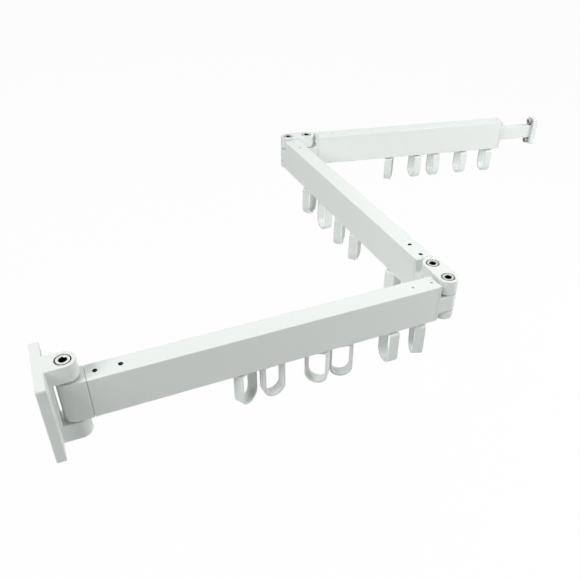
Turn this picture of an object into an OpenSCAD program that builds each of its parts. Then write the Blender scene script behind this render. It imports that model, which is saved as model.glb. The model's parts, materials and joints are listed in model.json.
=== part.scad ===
// Wall mounted drying rack: three tube arms that fold side by side on vertical hinge pins,
// with swivelling rings that slide along a track under each tube, and a slide-out end rod.
// The origin is the centre of the wall plate's back face: +X leaves the wall and +Z is up.

/* [Tubes] */
// Width of the tubes, links and hinge blocks
tube_w = 20; // [18:0.5:23]
// Height of the tubes
tube_h = 40; // [38:0.5:46]
// Wall thickness of the tubes
tube_wall = 2; // [1.5:0.1:2.4]
// Radius of the tubes' long edges
tube_edge = 0.8; // [0.4:0.1:1.2]
// Thickness of the floor between rod chamber and ring track
floor_t = 1.5; // [1.2:0.1:2]
// Inner height of the ring track
track_h = 6; // [5.5:0.1:6.5]
// Width of the slot under the ring track
slot_w = 6; // [5.6:0.1:7]
// Length of arm 1 between its joint faces
arm_1_len = 326; // [300:1:500]
// Length of arm 2 between its joint faces
arm_2_len = 326; // [300:1:500]
// Length of arm 3 between its joint faces
arm_3_len = 280; // [260:1:400]

/* [Wall bracket] */
// Thickness of the wall plate
plate_t = 8; // [6:0.5:10]
// Width of the wall plate
plate_w = 60; // [56:1:80]
// Radius of the wall plate's corners
plate_corner = 2; // [1:0.5:4]
// Thickness of each hinge ear
wall_ear_t = 16; // [13:0.5:18]
// Gap between the upper hinge ear and the arm, filled by a bush flange
wall_flange_t = 3; // [2:0.5:4]
// Gap between the lower hinge ear and the arm, filled by a bush flange
low_flange_t = 1; // [0.8:0.1:3]
// How far the web between the ears stands out from the wall plate
web_t = 2; // [1:0.5:3]
// Gap between the wall plate and an arm folded flat to the wall
wall_gap = 5; // [4:0.5:8]
// Distance of the wall screw holes from the plate's edges
hole_margin = 9; // [8:0.5:10]
// Diameter of the wall screw holes
hole_d = 5.5; // [4.5:0.1:6]
// Diameter of the wall screws' countersinks
sink_d = 11; // [9:0.5:12]

/* [Hinges] */
// Gap between two tubes that are folded side by side
fold_gap = 6.3; // [6:0.1:9]
// Gap between a hinge nose and the joint face of a tube
end_gap = 2.7; // [2.5:0.1:4]
// Gap between the wall hinge's nose and arm 1's tube
wall_end_gap = 3; // [2.5:0.1:5]
// How far past square a link turns at its stop, in degrees
over_turn = 10; // [5:1:12]
// Height by which a link stands above and below the tubes
link_proud = 2; // [1:0.5:3]
// Thickness of a link's upper ear
upper_ear_t = 15; // [12:0.5:16]
// Thickness of a link's lower ear
lower_ear_t = 8; // [6:0.5:9]
// Thickness of the flanges of the bushes in the links
flange_t = 2; // [1.5:0.1:2.5]
// Diameter of the bush flanges
flange_d = 16; // [14:0.5:17]
// Outer diameter of the bush sleeves
sleeve_d = 11; // [10:0.1:12]
// Thickness of the joint flanges that close the tube ends
joint_flange_t = 2; // [1.5:0.1:3]
// Length of the block inside a tube end
plug_len = 34; // [32:1:40]
// Edge radius of the links and the wall ears
soft_edge = 1; // [0.5:0.1:1.5]

/* [Screws] */
// Diameter of the hinge screws' shanks
pin_d = 8; // [7:0.1:8.4]
// Diameter of the hinge screws' heads
head_d = 13; // [12:0.1:13.5]
// Height of the hinge screws' heads
head_h = 8; // [6:0.1:8]
// Depth of a hinge screw's head below the ear's top
head_sink = 0.4; // [0.2:0.1:1]
// Width of the gap round a hinge screw's head
head_gap = 0.2; // [0.2:0.1:0.8]
// Width across the flats of the hinge screws' sockets
pin_key = 6; // [5:0.1:6.5]
// Depth of the hinge screws' sockets
pin_key_h = 4.5; // [3:0.1:5]
// Diameter of the set screws in the near ends of arms 1 and 2
set_d = 4; // [3.4:0.1:5]
// Diameter of the other set screws
small_set_d = 2.5; // [2:0.1:3]
// Length of the set screws
set_len = 8; // [6:0.5:10]
// Width of the sockets of the set screws, as a share of their diameter
set_key = 0.5; // [0.4:0.05:0.6]
// Distance between the two set screws of a block
set_pitch = 20.5; // [18:0.5:22]
// Distance of the first set screw from the hinge end of arms 1 and 2
set_first = 8; // [6:0.5:9]
// Distance of the first set screw from the far end of arms 1 and 2, and from arm 3's hinge end
set_last = 5.5; // [5:0.5:9]

/* [Slide rod] */
// Width of the slide rod
rod_w = 9; // [8:0.1:10]
// Height of the slide rod
rod_h = 18.5; // [17:0.1:19]
// Overall length of the slide rod
rod_len = 240; // [230:1:240]
// Length of rod between arm 3 and the end plate
rod_out = 50; // [40:1:60]
// Length of the guide in the end of arm 3
guide_len = 20; // [15:1:25]
// Thickness of the end cap's flange
cap_t = 3; // [2:0.5:4]
// Length of the shoe on the rod's inner end
shoe_len = 16; // [14:1:20]
// Width of the end plate
end_w = 16; // [14:0.5:18]
// Height of the end plate
end_h = 38; // [37:0.5:40]
// Thickness of the end plate
end_t = 7; // [6:0.5:9]
// Diameter of the end plate's screws
end_screw_d = 5; // [4:0.1:5]
// Diameter of the end plate's screw heads
end_head_d = 8.5; // [7:0.1:8.5]
// Height of the end plate's screw heads
end_head_h = 5; // [4:0.1:6]
// Diameter of the countersunk rod screws
rod_screw_d = 4; // [3:0.1:4.5]
// Length of the countersunk rod screws
rod_screw_len = 20; // [16:1:24]

/* [Rings] */
// Width of a ring across its legs
ring_w = 22; // [20:0.5:22.4]
// Height of the rings under arms 1 and 2
ring_h = 39; // [34:0.5:45]
// Height of the rings under arm 3
far_ring_h = 35; // [34:0.5:45]
// Width of the rings' strap
strap_w = 10; // [8:0.5:10.4]
// Thickness of the rings' strap
strap_t = 2.2; // [1.6:0.1:2.6]
// Outer radius of a ring's top corners
ring_corner = 2.6; // [2.6:0.1:4]
// Gap between a tube and the rings under it
ring_drop = 2.2; // [1.6:0.1:3]
// Diameter of a runner's disc
runner_d = 14; // [12:0.5:14.5]
// Thickness of a runner's disc
runner_t = 4; // [3:0.1:4.5]
// Diameter of a runner's stem
stem_d = 5.2; // [4:0.1:5.2]
// Diameter of a runner's collar and of its head inside the ring
rivet_d = 9; // [8:0.5:10]
// Thickness of a runner's head inside the ring
rivet_t = 1.8; // [1.2:0.1:2.5]

/* [Rest pose] */
// Angle of arm 1 from straight out of the wall
arm_1_turn = 0; // [-90:0.5:90]
// Angle of link A from arm 1
link_a_turn = 90.5; // [-90.5:0.5:90.5]
// Angle of arm 2 from link A
arm_2_turn = 0.6; // [-60:0.1:60]
// Angle of link B from arm 2
link_b_turn = -99; // [-100:1:100]
// Angle of arm 3 from link B
arm_3_turn = -3.3; // [-60:0.1:60]

/* [Clearances] */
// Radial running clearance of pins in bushes
run_fit = 0.05; // [0.02:0.01:0.1]
// Radial clearance of fixed cylinders in their bores
seat_fit = 0.04; // [0.02:0.01:0.1]
// Clearance of blocks, rod and shoe in the tube chambers
slide_fit = 0.15; // [0.1:0.01:0.25]
// Vertical clearance of the runners and rings
ring_fit = 0.1; // [0.05:0.01:0.3]

/* [Hidden] */
$fn = 48;
bite = 1; // how far a cut runs past the face it opens

// rings of each arm: place along the tube from its near joint face, as a share of its length
RING_AT = [
    [0.405, 0.485, 0.623, 0.699, 0.859, 0.957],
    [0.156, 0.423, 0.546, 0.675, 0.816],
    [0.404, 0.546, 0.65, 0.804, 0.946]
];
// and the turn of each ring from lying along its tube, in degrees
RING_TURN = [
    [34, 7, 142, 161, 88, 70],
    [-64, -46, -43, 3, -56],
    [61, 96, 94, 92, 90]
];

nose_r = tube_w / 2;
top_z = tube_h / 2;
chamber_w = tube_w - 2 * tube_wall;
chamber_r = 0.5; // inner corner radius of the tube chambers
track_z = -top_z + tube_wall;
floor_z = track_z + track_h;
chamber_z = floor_z + floor_t;
chamber_h = top_z - tube_wall - chamber_z;

wall_inset = nose_r + wall_end_gap;
link_inset = nose_r + end_gap;
link_pitch = tube_w + fold_gap;
link_top = top_z + link_proud;
ear_low_z = -link_top + lower_ear_t;
ear_high_z = link_top - upper_ear_t;
tongue_z = ear_low_z + flange_t;
tongue_h = ear_high_z - flange_t - tongue_z;
wall_ear_z = top_z + wall_flange_t;
low_ear_z = top_z + low_flange_t;
wall_top = wall_ear_z + wall_ear_t;
side_reach = nose_r * (1 + sin(over_turn)) / cos(over_turn);
link_wall = link_pitch - 2 * (side_reach + slide_fit);
link_post_d = link_pitch - 2 * (nose_r + 0.4);

pin_r = pin_d / 2;
sink_z = head_h + head_sink;
cap_len = arm_3_len - cap_t;
rod_inner = arm_3_len + rod_out - rod_len;
end_screw_z = (rod_h / 2 + end_h / 2) / 2 + 0.2;
ring_top = -top_z - ring_drop;
collar_gap = ring_drop - 2 * ring_fit;

dir_1 = arm_1_turn;
dir_a = dir_1 + link_a_turn;
dir_2 = dir_a + arm_2_turn;
dir_b = dir_2 + link_b_turn;
dir_3 = dir_b + arm_3_turn;
function along(from, dir, dist) = from + dist * [cos(dir), sin(dir)];
pin_1 = [plate_t + wall_gap + nose_r, 0];
pin_2 = along(pin_1, dir_1, wall_inset + arm_1_len + link_inset);
pin_3 = along(pin_2, dir_a, link_pitch);
pin_4 = along(pin_3, dir_2, link_inset + arm_2_len + link_inset);
pin_5 = along(pin_4, dir_b, link_pitch);

ring_nodes = [for (a = [0:2]) for (k = [0:len(RING_AT[a]) - 1]) str("ring_", a + 1, k + 1)];
runner_nodes = [for (a = [0:2]) for (k = [0:len(RING_AT[a]) - 1]) str("runner_", a + 1, k + 1)];

// ---- places ----

module at(pin, dir) {
    translate([pin.x, pin.y, 0]) rotate([0, 0, dir]) children();
}

module on_arm_1() {
    at(pin_1, dir_1) children();
}

module on_arm_2() {
    at(pin_3, dir_2) children();
}

module on_arm_3() {
    at(pin_5, dir_3) children();
}

// of an arm, numbered from 0: from the hinge pin to its near joint face, its length, its rings' height
function inset(arm) = arm == 0 ? wall_inset : link_inset;
function len_of(arm) = [arm_1_len, arm_2_len, arm_3_len][arm];
function hang(arm) = arm == 2 ? far_ring_h : ring_h;

module on_arm(arm) {
    if (arm == 0) on_arm_1() children();
    if (arm == 1) on_arm_2() children();
    if (arm == 2) on_arm_3() children();
}

// turns the children to face back along an arm from its far hinge pin
module at_far_end(len, near) {
    translate([near + len + link_inset, 0, 0]) rotate([0, 0, 180]) children();
}

// ---- shapes ----

// a rectangle centred on y, from z = low, with rounded corners
module round_box(w, low, h, r) {
    translate([-w / 2 + r, low]) square([w - 2 * r, h]);
    translate([-w / 2, low + r]) square([w, h - 2 * r]);
    for (x = [-w / 2 + r, w / 2 - r]) for (z = [low + r, low + h - r]) translate([x, z]) circle(r);
}

// extrudes an outline in the y-z plane from x = from over len
module along_x(from, len) {
    translate([from, 0, 0]) rotate([90, 0, 90]) linear_extrude(len) children();
}

// a nose round the z axis from z = low, with soft edges
module nose(low, h, edge) {
    translate([0, 0, low]) rotate_extrude() {
        square([nose_r - edge, h]);
        translate([0, edge]) square([nose_r, h - 2 * edge]);
        for (z = [edge, h - edge]) translate([nose_r - edge, z]) circle(edge);
    }
}

// a nose with the bar behind it, which reaches to x = len
module nosed_bar(len, low, h, edge) {
    nose(low, h, edge);
    along_x(min(len, 0), abs(len)) round_box(tube_w, low, h, edge);
}

module hex(key, low, h) {
    translate([0, 0, low]) cylinder(h = h, d = key / cos(30), $fn = 6);
}

// a socket cap screw whose head ends at z = 0 and whose shank reaches down by len below the head
module cap_screw(d, head, h, key, key_h, len) {
    chamfer = 0.5;
    difference() {
        rotate_extrude() polygon([
            [0, 0], [head / 2 - chamfer, 0], [head / 2, -chamfer], [head / 2, -h], [d / 2, -h],
            [d / 2, -h - len + chamfer], [d / 2 - chamfer, -h - len], [0, -h - len]
        ]);
        hex(key, -key_h, key_h + bite);
    }
}

// the row of set screw places of a block, measured from its joint face at x = face
module set_places(face, first) {
    for (k = [0, 1]) translate([face + first + k * set_pitch, 0, 0]) children();
}

module set_screw(d) {
    top = top_z - tube_wall - slide_fit;
    difference() {
        translate([0, 0, top - set_len]) cylinder(h = set_len, d = d);
        hex(d * set_key, top - set_len / 3, set_len);
    }
}

// what a set screw needs: a clear hole in the tube's top and a tapped bore in the block
module set_hole(d) {
    translate([0, 0, top_z - tube_wall - bite]) cylinder(h = tube_wall + 2 * bite, d = d + 0.2);
}

module set_bore(d) {
    translate([0, 0, top_z - set_len - tube_wall - bite]) {
        cylinder(h = set_len + tube_wall + 2 * bite, r = d / 2 + seat_fit);
    }
}

// the tube section: a rod chamber above a slotted ring track
module tube_section() {
    difference() {
        round_box(tube_w, -top_z, tube_h, tube_edge);
        round_box(chamber_w, chamber_z, chamber_h, chamber_r);
        round_box(chamber_w, track_z, track_h, chamber_r);
        translate([-slot_w / 2, -top_z - bite]) square([slot_w, tube_wall + track_h / 2 + bite]);
    }
}

module tube(from, to) {
    along_x(from, to - from) tube_section();
}

// the section of a block that fits the rod chamber
module chamber_block() {
    round_box(chamber_w - 2 * slide_fit, chamber_z + slide_fit, chamber_h - 2 * slide_fit, chamber_r);
}

// the block inside the end of a tube, from its joint face inwards
module plug(face) {
    along_x(face, plug_len) chamber_block();
}

// a pin's bore for two sleeves, through all heights
module sleeve_bore(low, h) {
    translate([0, 0, low - bite]) cylinder(h = h + 2 * bite, r = sleeve_d / 2 + seat_fit);
}

// a hinge tongue for set screws of one size: nose, neck, a flange that closes the tube's end, and the plug
module tongue(first, d) {
    difference() {
        union() {
            nosed_bar(link_inset + joint_flange_t / 2, tongue_z, tongue_h, tube_edge);
            along_x(link_inset, joint_flange_t) round_box(tube_w, -top_z, tube_h, tube_edge);
            plug(link_inset + joint_flange_t / 2);
        }
        sleeve_bore(tongue_z, tongue_h);
        set_places(link_inset, first) set_bore(d);
    }
}

// a flanged sleeve, flange down, between z = low and z = low + h
module bush(low, flange, h) {
    translate([0, 0, low]) difference() {
        union() {
            cylinder(h = flange, d = flange_d);
            cylinder(h = h, d = sleeve_d);
        }
        translate([0, 0, -bite]) cylinder(h = h + 2 * bite, r = pin_r + run_fit);
    }
}

// the two bushes of a block that spans z = low to low + h, flanges outwards
module bush_pair(low, h, low_flange, high_flange) {
    reach = h / 2 - 0.5;
    bush(low - low_flange, low_flange, low_flange + reach);
    translate([0, 0, 2 * low + h]) mirror([0, 0, 1]) {
        bush(low - high_flange, high_flange, high_flange + reach);
    }
}

module tongue_bushes() {
    bush_pair(tongue_z, tongue_h, flange_t, flange_t);
}

// a link of two ears joined by a thin wall and a round post, with its pins at 0 and link_pitch
module link() {
    difference() {
        union() {
            nosed_bar(link_pitch, ear_high_z, upper_ear_t, soft_edge);
            nosed_bar(link_pitch, -link_top, lower_ear_t, soft_edge);
            translate([link_pitch, 0, 0]) {
                nose(ear_high_z, upper_ear_t, soft_edge);
                nose(-link_top, lower_ear_t, soft_edge);
            }
            translate([(link_pitch - link_wall) / 2, -nose_r, ear_low_z - bite]) {
                cube([link_wall, tube_w, ear_high_z - ear_low_z + 2 * bite]);
            }
            translate([link_pitch / 2, 0, ear_low_z - bite]) {
                cylinder(h = ear_high_z - ear_low_z + 2 * bite, d = link_post_d);
            }
        }
        for (x = [0, link_pitch]) translate([x, 0, 0]) {
            translate([0, 0, link_top - sink_z]) cylinder(h = sink_z + bite, d = head_d + 2 * head_gap);
            translate([0, 0, ear_high_z - bite]) cylinder(h = upper_ear_t, r = pin_r + seat_fit);
            translate([0, 0, -link_top - bite]) cylinder(h = lower_ear_t + 2 * bite, r = pin_r + seat_fit);
        }
    }
}

module link_screws() {
    for (x = [0, link_pitch]) translate([x, 0, link_top - head_sink]) {
        cap_screw(pin_d, head_d, head_h, pin_key, pin_key_h, 2 * link_top - sink_z);
    }
}

// ---- wall bracket ----

module wall_bracket() {
    back = plate_t / 2 - pin_1.x;
    hole_y = plate_w / 2 - hole_margin;
    hole_z = wall_top - hole_margin;
    color("white") difference() {
        union() {
            along_x(0, plate_t) round_box(plate_w, -wall_top, 2 * wall_top, plate_corner);
            at(pin_1, 0) nosed_bar(back, wall_ear_z, wall_ear_t, soft_edge);
            at(pin_1, 0) nosed_bar(back, -wall_top, wall_top - low_ear_z, soft_edge);
            translate([plate_t / 2, -nose_r, -low_ear_z - bite]) {
                cube([plate_t / 2 + web_t, tube_w, low_ear_z + wall_ear_z + 2 * bite]);
            }
        }
        at(pin_1, 0) {
            translate([0, 0, wall_top - sink_z]) cylinder(h = sink_z + bite, d = head_d + 2 * head_gap);
            translate([0, 0, -wall_top - bite]) cylinder(h = 2 * wall_top, r = pin_r + seat_fit);
        }
        for (y = [-hole_y, hole_y]) for (z = [-hole_z, hole_z]) translate([0, y, z]) rotate([0, 90, 0]) {
            translate([0, 0, -bite]) cylinder(h = plate_t + 2 * bite, d = hole_d);
            translate([0, 0, plate_t - (sink_d - hole_d) / 2]) {
                cylinder(h = (sink_d - hole_d) / 2 + 0.01, d1 = hole_d, d2 = sink_d);
            }
        }
    }
}

module wall_hinge_screw() {
    color("silver") at(pin_1, 0) translate([0, 0, wall_top - head_sink]) {
        cap_screw(pin_d, head_d, head_h, pin_key, pin_key_h, 2 * wall_top - sink_z);
    }
}

module wall_hinge_bushes() {
    color("gainsboro") at(pin_1, dir_1) bush_pair(-top_z, tube_h, low_flange_t, wall_flange_t);
}

// ---- arm 1 ----

module arm_1_tube() {
    color("white") on_arm_1() difference() {
        tube(wall_inset, wall_inset + arm_1_len - joint_flange_t);
        set_places(wall_inset, set_first) set_hole(set_d);
        at_far_end(arm_1_len, wall_inset) set_places(link_inset, set_last) set_hole(small_set_d);
    }
}

module arm_1_hinge_block() {
    color("white") on_arm_1() difference() {
        union() {
            nosed_bar(wall_inset, -top_z, tube_h, tube_edge);
            plug(wall_inset - joint_flange_t / 2);
        }
        sleeve_bore(-top_z, tube_h);
        set_places(wall_inset, set_first) set_bore(set_d);
    }
}

module arm_1_tongue() {
    color("white") on_arm_1() at_far_end(arm_1_len, wall_inset) tongue(set_last, small_set_d);
}

module arm_1_bushes() {
    color("gainsboro") on_arm_1() at_far_end(arm_1_len, wall_inset) tongue_bushes();
}

module arm_1_set_screws() {
    color("dimgray") on_arm_1() {
        set_places(wall_inset, set_first) set_screw(set_d);
        at_far_end(arm_1_len, wall_inset) set_places(link_inset, set_last) set_screw(small_set_d);
    }
}

// ---- arm 2 ----

module arm_2_tube() {
    color("white") on_arm_2() difference() {
        tube(link_inset + joint_flange_t, link_inset + arm_2_len - joint_flange_t);
        set_places(link_inset, set_first) set_hole(set_d);
        at_far_end(arm_2_len, link_inset) set_places(link_inset, set_last) set_hole(small_set_d);
    }
}

module arm_2_near_tongue() {
    color("white") on_arm_2() tongue(set_first, set_d);
}

module arm_2_far_tongue() {
    color("white") on_arm_2() at_far_end(arm_2_len, link_inset) tongue(set_last, small_set_d);
}

module arm_2_bushes() {
    color("gainsboro") on_arm_2() {
        tongue_bushes();
        at_far_end(arm_2_len, link_inset) tongue_bushes();
    }
}

module arm_2_set_screws() {
    color("dimgray") on_arm_2() {
        set_places(link_inset, set_first) set_screw(set_d);
        at_far_end(arm_2_len, link_inset) set_places(link_inset, set_last) set_screw(small_set_d);
    }
}

// ---- arm 3 ----

module arm_3_tube() {
    color("white") on_arm_3() difference() {
        tube(link_inset + joint_flange_t, link_inset + cap_len);
        set_places(link_inset, set_last) set_hole(small_set_d);
    }
}

module arm_3_tongue() {
    color("white") on_arm_3() tongue(set_last, small_set_d);
}

module arm_3_bushes() {
    color("gainsboro") on_arm_3() tongue_bushes();
}

module arm_3_set_screws() {
    color("dimgray") on_arm_3() set_places(link_inset, set_last) set_screw(small_set_d);
}

// closes the tube and the track, and guides the rod
module arm_3_end_cap() {
    color("whitesmoke") on_arm_3() difference() {
        union() {
            along_x(link_inset + cap_len, cap_t) round_box(tube_w, -top_z, tube_h, tube_edge);
            along_x(link_inset + cap_len - guide_len, guide_len + cap_t / 2) chamber_block();
            along_x(link_inset + cap_len - cap_t, 1.5 * cap_t) {
                round_box(chamber_w - 2 * slide_fit, track_z + slide_fit, track_h - 2 * slide_fit, chamber_r);
            }
        }
        translate([link_inset + cap_len - guide_len - bite, -rod_w / 2 - slide_fit, -rod_h / 2 - slide_fit]) {
            cube([guide_len + cap_t + 2 * bite, rod_w + 2 * slide_fit, rod_h + 2 * slide_fit]);
        }
    }
}

// ---- links ----

module link_a() {
    color("white") at(pin_2, dir_a) link();
}

module link_a_screws() {
    color("silver") at(pin_2, dir_a) link_screws();
}

module link_b() {
    color("white") at(pin_4, dir_b) link();
}

module link_b_screws() {
    color("silver") at(pin_4, dir_b) link_screws();
}

// ---- slide rod and end plate ----

// the screw places at both ends of the rod, with the x axis pointing into the rod
module at_rod_ends() {
    on_arm_3() {
        translate([link_inset + arm_3_len + rod_out + end_t, 0, 0]) rotate([0, 0, 180]) children();
        translate([link_inset + rod_inner - end_t, 0, 0]) children();
    }
}

// a countersunk screw along +x whose head ends at x = 0
module sunk_screw(room) {
    sink = rod_screw_d / 2;
    rotate([0, 90, 0]) {
        cylinder(h = rod_screw_len, r = rod_screw_d / 2 + room);
        cylinder(h = sink, r1 = rod_screw_d + room, r2 = rod_screw_d / 2 + room);
    }
}

module slide_rod() {
    color("white") difference() {
        on_arm_3() along_x(link_inset + rod_inner, rod_len) round_box(rod_w, -rod_h / 2, rod_h, 0.8);
        at_rod_ends() sunk_screw(seat_fit);
    }
}

// slides in the rod chamber and stops the rod at the guide
module rod_shoe() {
    color("gainsboro") difference() {
        on_arm_3() along_x(link_inset + rod_inner - end_t, shoe_len) chamber_block();
        on_arm_3() translate([link_inset + rod_inner, -rod_w / 2 - seat_fit, -rod_h / 2 - seat_fit]) {
            cube([shoe_len, rod_w + 2 * seat_fit, rod_h + 2 * seat_fit]);
        }
        at_rod_ends() sunk_screw(seat_fit);
    }
}

module rod_screws() {
    color("silver") at_rod_ends() difference() {
        sunk_screw(0);
        rotate([0, 90, 0]) hex(rod_screw_d * 0.6, -bite, bite + rod_screw_d / 2);
    }
}

module end_plate() {
    color("white") difference() {
        on_arm_3() along_x(link_inset + arm_3_len + rod_out, end_t) round_box(end_w, -end_h / 2, end_h, 1.5);
        at_rod_ends() sunk_screw(seat_fit);
        end_screw_places() translate([0, 0, -end_t - bite]) {
            cylinder(h = end_t + 2 * bite, r = end_screw_d / 2 + seat_fit);
        }
    }
}

// the end plate's screw places, with z out of the face towards the arm
module end_screw_places() {
    on_arm_3() for (z = [-end_screw_z, end_screw_z]) {
        translate([link_inset + arm_3_len + rod_out, 0, z]) rotate([0, -90, 0]) children();
    }
}

module end_plate_screws() {
    color("silver") end_screw_places() translate([0, 0, end_head_h]) {
        cap_screw(end_screw_d, end_head_d, end_head_h, end_screw_d * 0.8, end_head_h * 0.6, end_t);
    }
}

// ---- runners and rings ----

module at_ring(arm, k) {
    on_arm(arm) translate([inset(arm) + RING_AT[arm][k] * len_of(arm), 0, 0]) {
        rotate([0, 0, RING_TURN[arm][k]]) children();
    }
}

// disc in the track, stem through the slot, collar under the tube and a head inside the ring
module runner(arm, k) {
    disc = track_z + ring_fit;
    collar = -top_z - ring_fit;
    head = ring_top - strap_t - ring_fit;
    s = stem_d / 2;
    r = rivet_d / 2;
    color("gainsboro") at_ring(arm, k) rotate_extrude() polygon([
        [0, disc + runner_t], [runner_d / 2 - 0.5, disc + runner_t], [runner_d / 2, disc + runner_t - 0.5],
        [runner_d / 2, disc], [s, disc], [s, collar], [r, collar], [r, collar - collar_gap],
        [s, collar - collar_gap], [s, head], [r, head], [r - 0.4, head - rivet_t], [0, head - rivet_t]
    ]);
}

// the outline of a ring of height h seen along its opening, inset by less from the outside
module ring_outline(h, less) {
    r = ring_w / 2 - less;
    corner = max(ring_corner - less, 0.3);
    top = ring_top - less;
    middle = ring_top - h + ring_w / 2;
    translate([0, middle]) circle(r);
    translate([-r, middle]) square([2 * r, top - middle - corner]);
    translate([-r + corner, middle]) square([2 * (r - corner), top - middle]);
    for (x = [-r + corner, r - corner]) translate([x, top - corner]) circle(corner);
}

module ring(arm, k) {
    color("white") at_ring(arm, k) difference() {
        translate([0, strap_w / 2, 0]) rotate([90, 0, 0]) linear_extrude(strap_w) difference() {
            ring_outline(hang(arm), 0);
            ring_outline(hang(arm), strap_t);
        }
        translate([0, 0, ring_top - strap_t - bite]) {
            cylinder(h = strap_t + 2 * bite, r = stem_d / 2 + run_fit);
        }
    }
}

// ---- the nodes ----

wall_bracket();
wall_hinge_screw();
wall_hinge_bushes();
arm_1_tube();
arm_1_hinge_block();
arm_1_tongue();
arm_1_bushes();
arm_1_set_screws();
arm_2_tube();
arm_2_near_tongue();
arm_2_far_tongue();
arm_2_bushes();
arm_2_set_screws();
arm_3_tube();
arm_3_tongue();
arm_3_bushes();
arm_3_set_screws();
arm_3_end_cap();
link_a();
link_a_screws();
link_b();
link_b_screws();
slide_rod();
rod_shoe();
rod_screws();
end_plate();
end_plate_screws();
for (a = [0:2]) for (k = [0:len(RING_AT[a]) - 1]) {
    runner(a, k);
    ring(a, k);
}
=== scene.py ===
"""Looks of a wall mounted folding drying rack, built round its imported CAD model.

Shapes are modelled at the origin in millimetres, with x along an arm or a link and the
hinge pins along z, and are then scaled to metres and set down on the record's joints.
"""

import json
import logging
import math
from dataclasses import dataclass
from enum import Enum
from typing import Callable, Iterable, Sequence

import bmesh
import bpy
from mathutils import Matrix, Vector


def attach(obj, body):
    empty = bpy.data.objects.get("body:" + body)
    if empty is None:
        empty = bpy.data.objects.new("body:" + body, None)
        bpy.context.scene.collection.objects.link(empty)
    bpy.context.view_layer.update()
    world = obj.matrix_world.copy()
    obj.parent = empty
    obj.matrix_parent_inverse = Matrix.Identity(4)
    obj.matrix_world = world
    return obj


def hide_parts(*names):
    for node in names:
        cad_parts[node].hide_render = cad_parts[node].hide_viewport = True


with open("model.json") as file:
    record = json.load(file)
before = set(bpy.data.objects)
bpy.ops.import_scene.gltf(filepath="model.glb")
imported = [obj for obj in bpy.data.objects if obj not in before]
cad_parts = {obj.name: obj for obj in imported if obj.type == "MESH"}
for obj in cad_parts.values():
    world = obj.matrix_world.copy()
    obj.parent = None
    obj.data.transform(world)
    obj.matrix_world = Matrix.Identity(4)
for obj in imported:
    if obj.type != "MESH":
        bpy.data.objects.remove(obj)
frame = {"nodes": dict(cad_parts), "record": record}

MM = 0.001
WELD_GAP = 0.0005  # points that lie nearer than this become one, in millimetres
SMOOTH_ANGLE = math.radians(32)  # edges blunter than this are shaded smooth
SOFTEN_ANGLE = math.radians(40)  # edges sharper than this are rounded
NOISE_MIDDLE = (0.3, 0.7)  # between these lie most of a noise's values
PLUG_HALF, PLUG_LOW, PLUG_HIGH = 7.85, -10.35, 17.85  # what fits a tube's chamber, in millimetres
LOG = logging.getLogger("drying_rack")
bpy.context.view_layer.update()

Shape = bpy.types.Object
Point = tuple[float, float, float]
Colour = tuple[float, float, float]
Profile = Sequence[tuple[float, float]]


class Grain(Enum):
    """How the metal under a powder coat was made, which shows through it."""

    EXTRUDED = "extruded"
    CAST = "cast"
    STRAP = "strap"


# ---------------------------------------------------------------- finishes


def fill(node: bpy.types.Node, **values: object) -> bpy.types.Node:
    """Sets a node's input sockets, with _ for a space in their names, and returns the node."""
    for key, value in values.items():
        node.inputs[key.replace("_", " ")].default_value = value
    return node


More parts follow.
